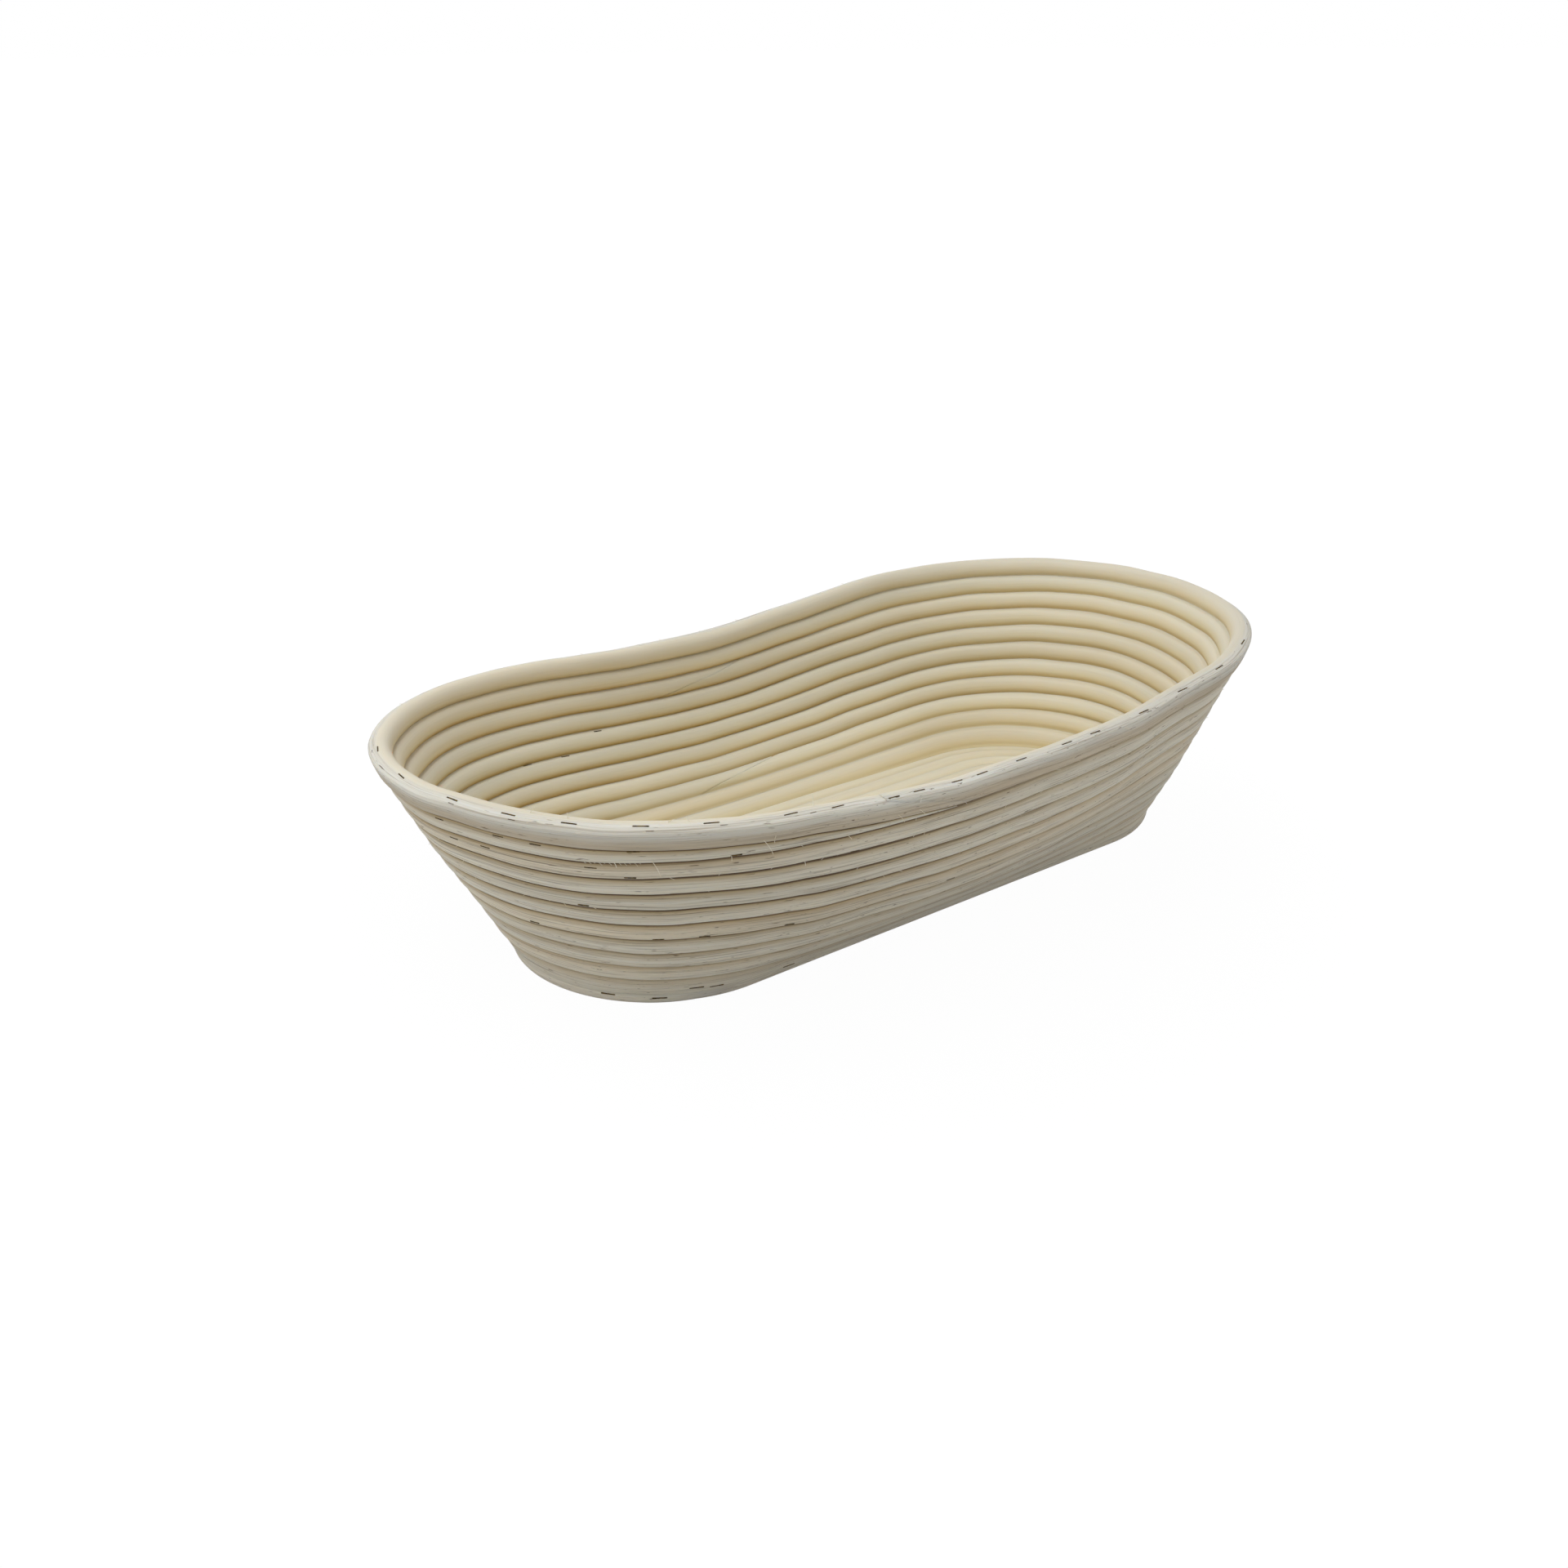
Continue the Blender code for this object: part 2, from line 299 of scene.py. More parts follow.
# %% Rail of the rim
def rim_distance(way):
    """The rim's distance up the wall; it follows the wall's top down to the low front."""
    return RIM_DISTANCE - (1 - climbed(way) + thinned(way)) * PITCH


def rim_rail():
    """Stations of the rim: one turn whose two ends overlap in a slanted splice."""
    start = RIM_SPLICE * RING_LENGTH
    length = RING_LENGTH + SPLICE_LENGTH
    steps = round(length / STEP)
    stations = []
    for i in range(steps + 1):
        way = length * i / steps
        cut_low, cut_high = wedge(way, 0.0, RING_LENGTH)
        if (cut_high - cut_low) * RIM_CANE > TIP:
            distance = rim_distance((start + way) % RING_LENGTH)
            place = wall_frame(distance, CLIMB_START + start + way)
            stations.append((*place, 2 * RIM_STEP, way, cut_low, cut_high))
    return stations


rim_stations = rim_rail()
print("stations of the rim", len(rim_stations))

# %% [markdown]
# ## Node helpers
# The finishes and the Geometry Nodes trees are built from small steps, so short functions add
# a node with its inputs and do one sum.


# %% Node helpers
def set_inputs(tree, node, inputs):
    """Sets a node's inputs, given as values or as sockets to link from."""
    for key, value in inputs.items():
        if isinstance(value, bpy.types.NodeSocket):
            tree.links.new(value, node.inputs[key])
        else:
            node.inputs[key].default_value = value


def add_node(tree, kind, inputs=None, **settings):
    """A new node with its settings and inputs."""
    node = tree.nodes.new(kind)
    for name, value in settings.items():
        setattr(node, name, value)
    set_inputs(tree, node, inputs or {})
    return node


def sum_of(tree, operation, *values):
    """One step of arithmetic on numbers, as the socket that holds its result."""
    return add_node(tree, "ShaderNodeMath", dict(enumerate(values)), operation=operation).outputs[0]


def product(tree, first, second):
    """Two numbers multiplied."""
    return sum_of(tree, "MULTIPLY", first, second)


def scaled(tree, value, factor, base):
    """A number times a factor, plus a base."""
    return sum_of(tree, "MULTIPLY_ADD", value, factor, base)


def between(tree, share, first, second):
    """The number that lies between two others by a share."""
    return add_node(tree, "ShaderNodeMix", {0: share, 2: first, 3: second}).outputs[0]


def step_of(tree, value, low, high):
    """A smooth rise from 0 to 1 while value goes from low to high."""
    inputs = {"Value": value, "From Min": low, "From Max": high}
    node = add_node(tree, "ShaderNodeMapRange", inputs, interpolation_type="SMOOTHSTEP")
    return node.outputs["Result"]


def vector_of(tree, operation, first, second):
    """One step of vector arithmetic; SCALE takes a number as its second value."""
    key = "Scale" if operation == "SCALE" else 1
    node = add_node(tree, "ShaderNodeVectorMath", {0: first, key: second}, operation=operation)
    return node.outputs["Vector"]


def vector_from(tree, x, y=0.0, z=0.0):
    """A vector from three numbers."""
    return add_node(tree, "ShaderNodeCombineXYZ", {0: x, 1: y, 2: z}).outputs[0]


def split(tree, vector):
    """The three numbers of a vector, by their names X, Y and Z."""
    return add_node(tree, "ShaderNodeSeparateXYZ", {0: vector}).outputs


def noise(tree, place, scale, detail, roughness=0.5):
    """Noise at a place, as Fac or as Color."""
    inputs = {"Vector": place, "Scale": scale, "Detail": detail, "Roughness": roughness}
    return add_node(tree, "ShaderNodeTexNoise", inputs).outputs


print("helpers ready")

# %% [markdown]
# ## Rattan
# Rattan core is a bundle of fibres that run along the cane. The inside of the basket is
# sanded smooth and warm; the outside is rough, greyer and shows its fibres. The grooves
# between the turns and the lower side of each turn are painted a darker tan, as painted
# shade, and the seams outside get painted shade and a painted shadow line under each lip. The
# pattern has to follow the cane round every bend, so the material reads the cane's own
# coordinates from attributes of the sweep. A pattern is given by its features per metre along
# and across the cane, and by its detail.

# %% Patterns and tones of the cane
FINE = (45.0, 2600.0, 5.0)
MIDDLE = (25.0, 1200.0, 5.0)
COARSE = (14.0, 600.0, 3.0)
FLECKS = (260.0, 1500.0, 2.0)
BROAD = (5.0, 60.0, 2.0)
SLOW = (1.7, 20.0, 1.0)
FIBRE_ROUGHNESS = 0.6
UNDERSIDE_SHADE_RISE = (-0.0032, 0.0018)
OUTSIDE_RISE = (-0.001, 0.003)
PALER_HEIGHTS = (0.034, 0.006)
LOW_DOWN_PALER = 0.10
WARMER = (1.0, 0.955, 0.9)
PALER = (1.06, 1.10, 1.17)
FLECK_COLOUR = (0.14, 0.09, 0.05, 1.0)
BUMP_DEPTH = 0.0004


def new_finish(name):
    """An empty finish, its node tree and its main shader."""
    made = bpy.data.materials.new(name)
    made.use_nodes = True
    return made, made.node_tree, made.node_tree.nodes["Principled BSDF"]


def fibre_noise(tree, cane, along, across, detail):
    """A pattern of fibres, drawn out along the cane."""
    place = vector_of(tree, "MULTIPLY", cane, (along, across, across))
    return noise(tree, place, 1.0, detail, FIBRE_ROUGHNESS)["Fac"]


def blend(tree, share, first, second):
    """The second colour over the first, by a share from 0 to 1."""
    inputs = {0: share, 6: first, 7: second}
    return add_node(tree, "ShaderNodeMix", inputs, data_type="RGBA").outputs[2]


print("finest pattern", FINE)


# %% The finish of the cane
def plain_colour(tree, cane, masks, colours):
    """The colour without fibres, by side and height on the section, with painted shade in the
    seams.
    """
    rough = masks["X"]
    rise = split(tree, cane)["Y"]
    # Painted shade: each turn's lower side takes a darker colour than its top.
    inner_share = step_of(tree, rise, *UNDERSIDE_SHADE_RISE)
    outer_share = step_of(tree, rise, *OUTSIDE_RISE)
    smooth_side = blend(tree, inner_share, colours["under"], colours["inside"])
    # On the rim the top colour is paler than the outside: painted light on the top, painted shade
    # on the outer face.
    rough_side = blend(tree, outer_share, colours["outside"], colours["top"])
    base = blend(tree, rough, smooth_side, rough_side)
    # Painted shade on an outer face under the lip of the turn above.
    base = blend(tree, masks["Z"], base, colours["seam"])
    # Painted shade in the grooves inside, and a painted shadow line in the seams outside.
    painted_shade_colour = blend(tree, rough, colours["groove"], colours["streak"])
    return blend(tree, masks["Y"], base, painted_shade_colour)


def aged_colour(tree, cane, rough, base):
    """Slow changes of tone along the cane; the smooth side is paler low down."""
    broad = fibre_noise(tree, cane, *BROAD)
    tone = scaled(tree, step_of(tree, broad, 0.3, 0.7), 0.14, 0.93)
    spot = add_node(tree, "ShaderNodeTexCoord").outputs["Object"]
    low_down = step_of(tree, split(tree, spot)["Z"], *PALER_HEIGHTS)
    low_down = product(tree, low_down, sum_of(tree, "SUBTRACT", 1.0, rough))
    tone = product(tree, tone, scaled(tree, low_down, LOW_DOWN_PALER, 1.0))
    base = vector_of(tree, "SCALE", base, tone)
    slow = step_of(tree, fibre_noise(tree, cane, *SLOW), 0.45, 0.7)
    return blend(tree, slow, base, vector_of(tree, "MULTIPLY", base, WARMER))


def fibre_colour(tree, cane, rough, base, fine, middle, streak):
    """Dark fibres, pale ones and flecks; most of them show on the rough side."""
    dark_fibres = ((fine, 0.5, 0.72, 0.5, 0.06), (middle, 0.52, 0.7, 0.38, 0.04))
    for pattern, low, high, more, least in dark_fibres:
        dark = product(tree, step_of(tree, pattern, low, high), scaled(tree, rough, more, least))
        base = blend(tree, dark, base, streak)
    coarse = step_of(tree, fibre_noise(tree, cane, *COARSE), 0.5, 0.66)
    pale = product(tree, coarse, product(tree, rough, 0.65))
    base = blend(tree, pale, base, vector_of(tree, "MULTIPLY", base, PALER))
    fleck = step_of(tree, fibre_noise(tree, cane, *FLECKS), 0.66, 0.74)
    spots = product(tree, fleck, product(tree, rough, 0.85))
    return blend(tree, spots, base, FLECK_COLOUR)


def rattan(name, **colours):
    """A finish for cane: smooth inside, fibrous outside, with painted shade where the turns meet.
    """
    made, tree, shader = new_finish(name)
    cane = add_node(tree, "ShaderNodeAttribute", attribute_name="cane").outputs["Vector"]
    masks = add_node(tree, "ShaderNodeAttribute", attribute_name="masks").outputs["Vector"]
    masks = split(tree, masks)
    rough = masks["X"]
    fine = fibre_noise(tree, cane, *FINE)
    middle = fibre_noise(tree, cane, *MIDDLE)
    base = plain_colour(tree, cane, masks, colours)
    base = aged_colour(tree, cane, rough, base)
    base = fibre_colour(tree, cane, rough, base, fine, middle, colours["streak"])
    relief = scaled(tree, middle, 1.2, fine)
    lift = scaled(tree, rough, 0.75, 0.05)
    bump = {"Height": relief, "Strength": lift, "Distance": BUMP_DEPTH}
    set_inputs(tree, shader, {
        "Base Color": base,
        "Normal": add_node(tree, "ShaderNodeBump", bump).outputs["Normal"],
        "Roughness": scaled(tree, rough, 0.25, 0.5),
        "Specular IOR Level": 0.35,
        "Subsurface Weight": 0.3,
        "Subsurface Radius": (1.0, 0.7, 0.4),
        "Subsurface Scale": 0.003,
    })
    return made


print("bump", BUMP_DEPTH / MM, "mm deep")

# %% Finishes of the wall, the rim and the floor
# Painted shade in each finish: the colour of a turn's lower side, the groove colour, the colour
# under the lip of the turn above, and the darkest colour, which draws the dark fibres and also a
# painted shadow line in the seams.
wall_finish = rattan(
    "rattan_cane",
    inside=(0.68, 0.635, 0.50, 1),
    under=(0.66, 0.575, 0.365, 1),
    outside=(0.80, 0.745, 0.615, 1),
    top=(0.79, 0.735, 0.615, 1),
    groove=(0.51, 0.345, 0.11, 1),
    seam=(0.52, 0.40, 0.22, 1),
    streak=(0.13, 0.085, 0.05, 1),
)
# On the rim the top is painted paler, as painted light, and the outer face darker, as painted
# shade.
rim_finish = rattan(
    "rattan_rim",
    inside=(0.71, 0.66, 0.53, 1),
    under=(0.66, 0.57, 0.38, 1),
    outside=(0.60, 0.52, 0.395, 1),
    top=(0.73, 0.71, 0.63, 1),
    groove=(0.56, 0.44, 0.23, 1),
    seam=(0.56, 0.44, 0.27, 1),
    streak=(0.26, 0.19, 0.12, 1),
)
floor_finish = rattan(
    "rattan_floor",
    inside=(0.70, 0.655, 0.52, 1),
    under=(0.69, 0.63, 0.475, 1),
    outside=(0.72, 0.66, 0.55, 1),
    top=(0.72, 0.66, 0.55, 1),
    groove=(0.64, 0.53, 0.31, 1),
    seam=(0.50, 0.40, 0.26, 1),
    streak=(0.15, 0.10, 0.06, 1),
)
print("finishes", wall_finish.name, rim_finish.name, floor_finish.name)

# %% [markdown]
# ## Sweeping the cane
# A cane follows a path, so a Geometry Nodes tree sweeps a section along each rail with
# Curve to Mesh. Set Position then puts every point where the rail's two directions say:
# round on the inside of the basket, flatter on the outside. Noise along the run lets the
# cane swell and wander a little, as grown cane does. The tree also stores the cane's own
# coordinates and the masks for the finish.


# %% Small steps of the trees
def new_tree(name, numbers, counts=()):
    """An empty Geometry Nodes tree: geometry in and out, counts, numbers and a finish."""
    tree = bpy.data.node_groups.new(name, "GeometryNodeTree")
    tree.interface.new_socket("Geometry", in_out="OUTPUT", socket_type="NodeSocketGeometry")
    sockets = [("Geometry", "NodeSocketGeometry")]
    sockets += [(label, "NodeSocketInt") for label in counts]
    sockets += [(label, "NodeSocketFloat") for label in numbers]
    sockets += [("Finish", "NodeSocketMaterial")]
    for label, kind in sockets:
        tree.interface.new_socket(label, in_out="INPUT", socket_type=kind)
    return tree, add_node(tree, "NodeGroupInput").outputs, add_node(tree, "NodeGroupOutput")


def geometry(tree, kind, inputs, **settings):
    """The geometry that a new node makes."""
    return add_node(tree, kind, inputs, **settings).outputs[0]


def read(tree, name, kind="FLOAT_VECTOR"):
    """A named attribute of the rail."""
    node = add_node(tree, "GeometryNodeInputNamedAttribute", {"Name": name}, data_type=kind)
    return node.outputs["Attribute"]


def store(tree, made, name, value):
    """The geometry with a vector kept on its points under a name."""
    inputs = {"Geometry": made, "Name": name, "Value": value}
    settings = {"data_type": "FLOAT_VECTOR", "domain": "POINT"}
    return geometry(tree, "GeometryNodeStoreNamedAttribute", inputs, **settings)


def circle(tree, sides, radius):
    """A circle to sweep along a curve."""
    inputs = {"Resolution": sides, "Radius": radius}
    return geometry(tree, "GeometryNodeCurvePrimitiveCircle", inputs)


def sweep(tree, curve, section):
    """A section swept along a curve, with closed ends."""
    inputs = {"Curve": curve, "Profile Curve": section, "Fill Caps": True}
    return geometry(tree, "GeometryNodeCurveToMesh", inputs)


def end_tree(tree, made, finish, result):
    """The end of a tree: real geometry that carries its finish."""
    whole = geometry(tree, "GeometryNodeRealizeInstances", {"Geometry": made})
    inputs = {"Geometry": whole, "Material": finish}
    set_inputs(tree, result, {0: geometry(tree, "GeometryNodeSetMaterial", inputs)})


print("tree steps ready")

# %% [markdown]
# Many changes of the cane fade in between two places: from none at a zone's first value to
# all at its second. Zones of the basket are in metres; the section runs from -1 to 1. A
# seam's width, the darkness of its painted shade and the painted shade under its lip are what
# its zone adds, and what it has anyway.

# %% Zones of the cane
WORN_ZONE = (0.030, 0.008)
SHALLOW_ZONE = (0.0, 0.14)
# Where the painted seam shade is stronger: to the front left and higher up.
STRONGER_SHADE_ZONE = (0.04, -0.08)
STRONGER_SHADE_HEIGHT = (0.01, 0.05)
SWAY_HEIGHT = (0.003, 0.025)
ROUGH_SIDE = (-0.15, 0.45)
BARE_TOP = (0.1, 0.6)
BARE_SIDE = (-0.4, 0.1)
LIP_SIDE = (0.0, 0.7)
UPPER_SEAM = (0.74, 0.86)
SHADE_SIDE = (0.0, 0.9)
SEAM_WIDTH = (0.5, 0.45)
SEAM_DEPTH = (0.82, 0.18)
SEAM_SHADE = (0.4, 0.6)
SHALLOW_FILL = 0.1
WORN_GROOVE = -0.8
SHALLOW_GROOVE = -0.45
SWELLS = 14.0
RIDGES_ALONG = 30.0
RIDGES_AROUND = 6.0
DRIFTS = 28.0


def squared(tree, value, power):
    """A circle's coordinate pushed outwards, so that a section gets flatter faces."""
    size = sum_of(tree, "POWER", sum_of(tree, "ABSOLUTE", value), power)
    return product(tree, sum_of(tree, "SIGN", value), size)


def within(tree, outwards, across, power):
    """A section's outward coordinate kept inside its outline where a splice cuts across it."""
    root = sum_of(tree, "DIVIDE", 2.0, power)
    taken = sum_of(tree, "POWER", sum_of(tree, "ABSOLUTE", across), root)
    left = sum_of(tree, "MAXIMUM", sum_of(tree, "SUBTRACT", 1.0, taken), 0.0)
    edge = sum_of(tree, "POWER", left, product(tree, power, 0.5))
    kept = sum_of(tree, "MINIMUM", outwards, edge)
    return sum_of(tree, "MAXIMUM", kept, product(tree, edge, -1.0))


def section_place(tree, given, low_down, shallow):
    """Where a point lies on the section: across the wall, outwards, and the outward reach."""
    section = split(tree, read(tree, "section"))
    outer = sum_of(tree, "GREATER_THAN", section["Y"], 0.0)
    power = between(tree, outer, given["Inner Power"], given["Outer Power"])
    across = squared(tree, section["X"], power)
    across = sum_of(tree, "MAXIMUM", across, read(tree, "cut_low", "FLOAT"))
    across = sum_of(tree, "MINIMUM", across, read(tree, "cut_high", "FLOAT"))
    outwards = within(tree, squared(tree, section["Y"], power), across, power)
    crest = product(tree, read(tree, "bare", "FLOAT"), given["Crest"])
    free = product(tree, crest, sum_of(tree, "GREATER_THAN", across, 0.0))
    fill = scaled(tree, low_down, given["Wear"], given["Fill"])
    fill = scaled(tree, shallow, SHALLOW_FILL, fill)
    fill = product(tree, fill, sum_of(tree, "SUBTRACT", free, 1.0))
    filled = sum_of(tree, "MINIMUM", outwards, fill)
    reach = between(tree, outer, given["Width"], given["Outer Width"])
    return across, between(tree, outer, filled, outwards), reach


print("grooves get shallower over x", SHALLOW_ZONE)


# %% Steps of the sweep
def rough_share(tree, across, outwards):
    """1 on the rough side of a cane, and on the open top of one with no turn above it."""
    rough = step_of(tree, outwards, *ROUGH_SIDE)
    open_top = product(tree, read(tree, "bare", "FLOAT"), step_of(tree, across, *BARE_TOP))
    open_top = product(tree, open_top, step_of(tree, outwards, *BARE_SIDE))
    return sum_of(tree, "MAXIMUM", rough, open_top)


def swells(tree, run, given):
    """Slow swelling along the run, from about -1 to 1 times its size."""
    place = vector_from(tree, product(tree, run, SWELLS), given["Seed"])
    slow = scaled(tree, noise(tree, place, 1.0, 2.0)["Fac"], 3.0, -1.5)
    return product(tree, slow, given["Wander"])


def ridges(tree, run, given, rough):
    """Fine ridges along the rough side."""
    place = vector_from(tree, product(tree, run, RIDGES_ALONG))
    around = vector_of(tree, "SCALE", read(tree, "section"), RIDGES_AROUND)
    place = vector_of(tree, "ADD", place, around)
    ridge = sum_of(tree, "SUBTRACT", noise(tree, place, 1.0, 3.0)["Fac"], 0.5)
    return product(tree, product(tree, ridge, given["Ridges"]), rough)


def swayed(tree, place, given):
    """A place drawn a little aside, neighbours together; the foot stays on the table."""
    drift = noise(tree, place, DRIFTS, 1.0)["Color"]
    drift = vector_of(tree, "SUBTRACT", drift, (0.5, 0.5, 0.5))
    share = step_of(tree, split(tree, place)["Z"], *SWAY_HEIGHT)
    share = product(tree, share, given["Sway"])
    return vector_of(tree, "ADD", place, vector_of(tree, "SCALE", drift, share))


def finish_masks(tree, across, rough, place, groove):
    """What the finish reads: the rough side, how dark the painted seam shade is, and the painted
    shade by the seams.
    """
    joined = product(tree, sum_of(tree, "SUBTRACT", 1.0, read(tree, "bare", "FLOAT")), rough)
    # Painted shadow line at the top of an outer face, under the lip of the turn above.
    upper = product(tree, step_of(tree, across, *UPPER_SEAM), joined)
    wide = scaled(tree, rough, *SEAM_WIDTH)
    # Painted shade on the lower part of each turn inside, and a thin painted shadow line at the
    # foot of an outer face.
    lower = step_of(tree, product(tree, across, -1.0), wide, 1.0)
    spot = split(tree, place)
    # The painted seam shade is stronger to the front left and higher up.
    stronger_shade_share = step_of(tree, spot["X"], *STRONGER_SHADE_ZONE)
    stronger_shade_share = product(tree, stronger_shade_share, step_of(tree, spot["Z"], *STRONGER_SHADE_HEIGHT))
    dark = between(tree, rough, groove, scaled(tree, stronger_shade_share, *SEAM_DEPTH))
    deep = product(tree, sum_of(tree, "MAXIMUM", upper, lower), dark)
    # Painted shade on an outer face under the lip of the turn above.
    shade = product(tree, step_of(tree, across, *SHADE_SIDE), joined)
    shade = product(tree, shade, scaled(tree, stronger_shade_share, *SEAM_SHADE))
    return vector_from(tree, rough, deep, shade)


print("sweep steps ready")

# %% The sweep
SWEEP_NUMBERS = (
    "Width", "Outer Width", "Outer Power", "Inner Power", "Lip", "Groove", "Fill", "Wear",
    "Crest", "Wander", "Sway", "Ridges", "Seed",
)


def sweep_tree():
    """Sweeps a section along a rail and keeps what the finish needs."""
    tree, given, result = new_tree("cane_sweep", SWEEP_NUMBERS, ["Sides"])
    position = add_node(tree, "GeometryNodeInputPosition").outputs[0]
    curve = geometry(tree, "GeometryNodeMeshToCurve", {"Mesh": given["Geometry"]})
    curve = store(tree, curve, "centre", position)
    section = store(tree, circle(tree, given["Sides"], 1.0), "section", position)
    tube = sweep(tree, curve, section)

    centre = read(tree, "centre")
    low_down = step_of(tree, split(tree, centre)["Z"], *WORN_ZONE)
    shallow = step_of(tree, split(tree, centre)["X"], *SHALLOW_ZONE)
    across, outwards, reach = section_place(tree, given, low_down, shallow)
    rough = rough_share(tree, across, outwards)
    run = read(tree, "run", "FLOAT")
    rise = product(tree, across, product(tree, read(tree, "thick", "FLOAT"), 0.5))
    reach = sum_of(tree, "ADD", reach, ridges(tree, run, given, rough))
    lip = product(tree, product(tree, across, given["Lip"]), step_of(tree, outwards, *LIP_SIDE))
    out = sum_of(tree, "SUBTRACT", product(tree, outwards, reach), lip)
    out = sum_of(tree, "ADD", out, swells(tree, run, given))
    place = vector_of(tree, "ADD", centre, vector_of(tree, "SCALE", read(tree, "rise"), rise))
    place = vector_of(tree, "ADD", place, vector_of(tree, "SCALE", read(tree, "out"), out))
    place = swayed(tree, place, given)
    moves = {"Geometry": tube, "Position": place}
    shaped = geometry(tree, "GeometryNodeSetPosition", moves)

    cane = vector_from(tree, sum_of(tree, "ADD", run, given["Seed"]), rise, out)
    shaped = store(tree, shaped, "cane", cane)
    # How dark the painted groove shade is; there is less of it low down and towards the right end.
    groove = product(tree, given["Groove"], scaled(tree, low_down, WORN_GROOVE, 1.0))
    groove = product(tree, groove, scaled(tree, shallow, SHALLOW_GROOVE, 1.0))
    masks = finish_masks(tree, across, rough, place, groove)
    shaped = store(tree, shaped, "masks", masks)
    smooth = geometry(tree, "GeometryNodeSetShadeSmooth", {"Geometry": shaped})
    end_tree(tree, smooth, given["Finish"], result)
    return tree


cane_sweep = sweep_tree()
print("tree", cane_sweep.name, "with", len(cane_sweep.nodes), "nodes")

# %% Making a tree's result a plain mesh
RAIL_VALUES = ("centre", "section", "rise", "out", "thick", "run", "bare", "cut_low", "cut_high")
SHARP_ANGLE = math.radians(50)


def add_object(name, data):
    """A new object in the scene."""
    made = bpy.data.objects.new(name, data)
    bpy.context.scene.collection.objects.link(made)
    return made


def run_tree(name, data, tree, values):
    """A plain mesh object from a tree with its inputs set by their identifiers."""
    holder = add_object(name, data)
    modifier = holder.modifiers.new(tree.name, "NODES")
    modifier.node_group = tree
    for item in tree.interface.items_tree:
        if item.in_out == "INPUT" and item.name in values:
            modifier[item.identifier] = values[item.name]
    graph = bpy.context.evaluated_depsgraph_get()
    mesh = bpy.data.meshes.new_from_object(holder.evaluated_get(graph), depsgraph=graph)
    bpy.data.objects.remove(holder)
    for extra in RAIL_VALUES:
        if extra in mesh.attributes:
            mesh.attributes.remove(mesh.attributes[extra])
    shape = bmesh.new()
    shape.from_mesh(mesh)
    bmesh.ops.recalc_face_normals(shape, faces=shape.faces)
    shape.to_mesh(mesh)
    shape.free()
    mesh.set_sharp_from_angle(angle=SHARP_ANGLE)
    mesh.name = name
    return add_object(name, mesh)


def keep_vectors(mesh, name, vectors):
    """Keeps one vector for each point of a mesh under a name."""
    values = np.float32(vectors).ravel()
    mesh.attributes.new(name, "FLOAT_VECTOR", "POINT").data.foreach_set("vector", values)


def rail_mesh(stations, bare_from):
    """A chain of points with the directions, thickness and run of each, in metres."""
    mesh = bpy.data.meshes.new("rail")
    centres, rises, outs, thicks, ways, lows, highs = zip(*stations)
    links = [(i, i + 1) for i in range(len(stations) - 1)]
    mesh.from_pydata([centre * MM for centre in centres], links, [])
    columns = {
        "run": [way * MM for way in ways],
        "thick": [thick * MM for thick in thicks],
        "bare": [1.0 if way > bare_from else 0.0 for way in ways],
        "cut_low": [2 * low - 1 + (SEAM if low > 0 else 0) for low in lows],
        "cut_high": [2 * high - 1 - (SEAM if high < 1 else 0) for high in highs],
    }
    for name, column in columns.items():
        mesh.attributes.new(name, "FLOAT", "POINT").data.foreach_set("value", np.float32(column))
    keep_vectors(mesh, "rise", rises)
    keep_vectors(mesh, "out", outs)
    return mesh


print("sharp edges from", round(math.degrees(SHARP_ANGLE)), "degrees")

# %% [markdown]
# ## The canes
# The floor's canes lie flat and are worn level on top; their undersides stand on the table.
# The wall's canes are rounder inside. The rim is thicker and nearly as flat outside.

# %% Sizes of the canes
WALL_SIZES = {
    "Sides": 40, "Width": CANE / 2 * MM, "Outer Width": 3.0 * MM, "Outer Power": 0.32,
    "Inner Power": 0.84, "Lip": 0.3 * MM, "Groove": 1.0, "Fill": 0.36, "Wear": 0.3, "Crest": 0.0,
    "Wander": 0.12 * MM, "Sway": 1.6 * MM, "Ridges": 0.2 * MM, "Seed": 10.0,
    "Finish": wall_finish,
}
FLOOR_SIZES = WALL_SIZES | {
    "Width": 3.2 * MM, "Outer Width": RING_HEIGHT * MM, "Outer Power": 0.6, "Inner Power": 0.5,
    "Lip": 0.0, "Groove": 2.0, "Fill": 0.8, "Wear": 0.0, "Wander": 0.0, "Seed": 3.0,
    "Finish": floor_finish,
}
RIM_SIZES = WALL_SIZES | {
    "Sides": 56, "Width": RIM_CANE / 2 * MM, "Outer Width": 3.5 * MM, "Outer Power": 0.45,
    "Crest": 1.0, "Wander": 0.0, "Seed": 30.0, "Finish": rim_finish,
}
RING_STARTS = FLOOR_TURNS * RING_LENGTH + 0.6 * CAP_LENGTH
ALL_BARE = -1.0
print("values for each cane", len(WALL_SIZES))


# %% Floor, wall and rim
def cane_piece(name, node, slot, stations, values, bare_from=math.inf):
    """One finished length of cane that stands for its solid.

    From the way bare_from on, nothing lies on top of the cane.
    """
    made = run_tree(name, rail_mesh(stations, bare_from), cane_sweep, values)
    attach(made, "root")
    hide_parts(node)
    print(name, len(made.data.polygons), "faces")
    return made


def cane_pieces(kind, rails, *values):
    """All the lengths of the floor's or of the wall's winding."""
    names = [(f"rattan_{kind}_{i}", f"{kind}_cane_{i}") for i in range(1, len(rails) + 1)]
    return [cane_piece(*name, "cane", stations, *values) for name, stations in zip(names, rails)]


